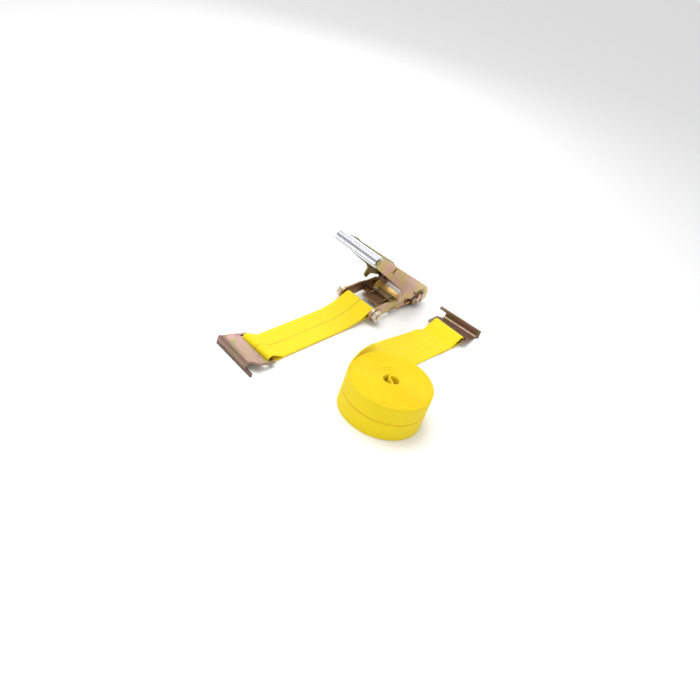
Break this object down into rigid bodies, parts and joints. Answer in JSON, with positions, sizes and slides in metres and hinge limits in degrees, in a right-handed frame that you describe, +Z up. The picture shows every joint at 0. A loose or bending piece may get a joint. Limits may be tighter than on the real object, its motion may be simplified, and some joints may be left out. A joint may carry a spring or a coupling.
{
  "type": "ratchet tie down",
  "caption": "Wide webbing ratchet strap: ratchet buckle with a long handle on a short strap, a rolled long strap, and flat hooks on both ends.",
  "frame": {"origin": "middle of the whole layout's footprint, on the floor", "axes": "+Z up; +X along the straps, from the fixed end's hook towards the ratchet's hub; +Y from the roll's side towards the ratchet's side"},
  "size_m": [0.742, 0.5096, 0.2581],
  "materials": {
    "zinc_yellow": "yellow zinc chromate plating, slightly iridescent",
    "zinc_silver": "bright zinc plating",
    "spring_steel": "olive zinc-plated spring wire",
    "webbing_yellow": "woven polyester webbing, yellow with a thin red-brown centre line"
  },
  "bodies": {
    "frame": {"frame_plate_far": "zinc_yellow", "frame_plate_near": "zinc_yellow", "frame_cross_plate": "zinc_yellow", "cross_plate_rivets": "zinc_yellow", "strap_bolt": "zinc_yellow", "strap_bolt_nut": "zinc_yellow", "bolt_sleeve": "zinc_yellow", "bolt_washers": "zinc_yellow", "lock_pawl_springs": "spring_steel"},
    "spool": {"spool_half_front": "zinc_yellow", "spool_half_rear": "zinc_yellow", "gear_far": "zinc_yellow", "gear_near": "zinc_yellow", "cotter_pin_far": "zinc_yellow", "cotter_pin_near": "zinc_yellow", "hub_washers": "zinc_yellow"},
    "handle": {"handle_cheek_far": "zinc_yellow", "handle_cheek_near": "zinc_yellow", "handle_grip": "zinc_silver", "grip_rod": "zinc_yellow", "handle_spacer_rod": "zinc_yellow", "handle_spring_seat": "zinc_yellow", "drive_pawl_springs": "spring_steel"},
    "drive_pawl_slide": {"drive_pawl": "zinc_yellow", "drive_pawl_guide_rods": "zinc_yellow"},
    "lock_pawl_slide": {"lock_pawl": "zinc_yellow", "lock_pawl_guide_rods": "zinc_yellow"},
    "fixed_end_strap": {"short_strap": "webbing_yellow"},
    "fixed_end_hook": {"flat_hook_left": "zinc_yellow"},
    "long_strap": {"long_strap_roll": "webbing_yellow", "long_strap_tail": "webbing_yellow", "long_strap_sewn_end": "webbing_yellow"},
    "long_strap_hook": {"flat_hook_right": "zinc_yellow"}
  },
  "joints": [
    {"name": "spool_turn", "type": "hinge", "parent": "frame", "child": "spool", "pos_m": [0.31298, 0.17422, 0.035], "axis": [0, 1, 0], "continuous": true},
    {"name": "handle_swing", "type": "hinge", "parent": "frame", "child": "handle", "pos_m": [0.31298, 0.17422, 0.035], "axis": [0, 1, 0], "range_deg": [-25.8, 120]},
    {"name": "drive_pawl_travel", "type": "slide", "parent": "handle", "child": "drive_pawl_slide", "axis": [0.8211, 0, -0.5707], "range_m": [-0.0025, 0.005], "stiffness_N_per_m": 800, "springref_m": 0.008, "deforming": ["drive_pawl_springs"]},
    {"name": "lock_pawl_travel", "type": "slide", "parent": "frame", "child": "lock_pawl_slide", "axis": [0.9992, 0, 0.0402], "range_m": [-0.0025, 0.005], "stiffness_N_per_m": 800, "springref_m": 0.008, "deforming": ["lock_pawl_springs"]},
    {"name": "strap_on_bolt", "type": "hinge", "parent": "frame", "child": "fixed_end_strap", "pos_m": [0.11398, 0.17422, 0.027], "axis": [0, 1, 0], "range_deg": [-30, 45]},
    {"name": "fixed_end_hook_swing", "type": "hinge", "parent": "fixed_end_strap", "child": "fixed_end_hook", "pos_m": [-0.28302, 0.17422, 0.0142], "axis": [0.1045, 0.9945, 0], "range_deg": [-40, 40]},
    {"name": "long_strap_lift", "type": "slide", "parent": "frame", "child": "long_strap", "axis": [0, 0, 1], "range_m": [0, 0.15]},
    {"name": "long_strap_hook_swing", "type": "hinge", "parent": "long_strap", "child": "long_strap_hook", "pos_m": [0.28298, -0.03778, 0.0142], "axis": [-0.1045, 0.9945, 0], "range_deg": [-40, 40]}
  ]
}
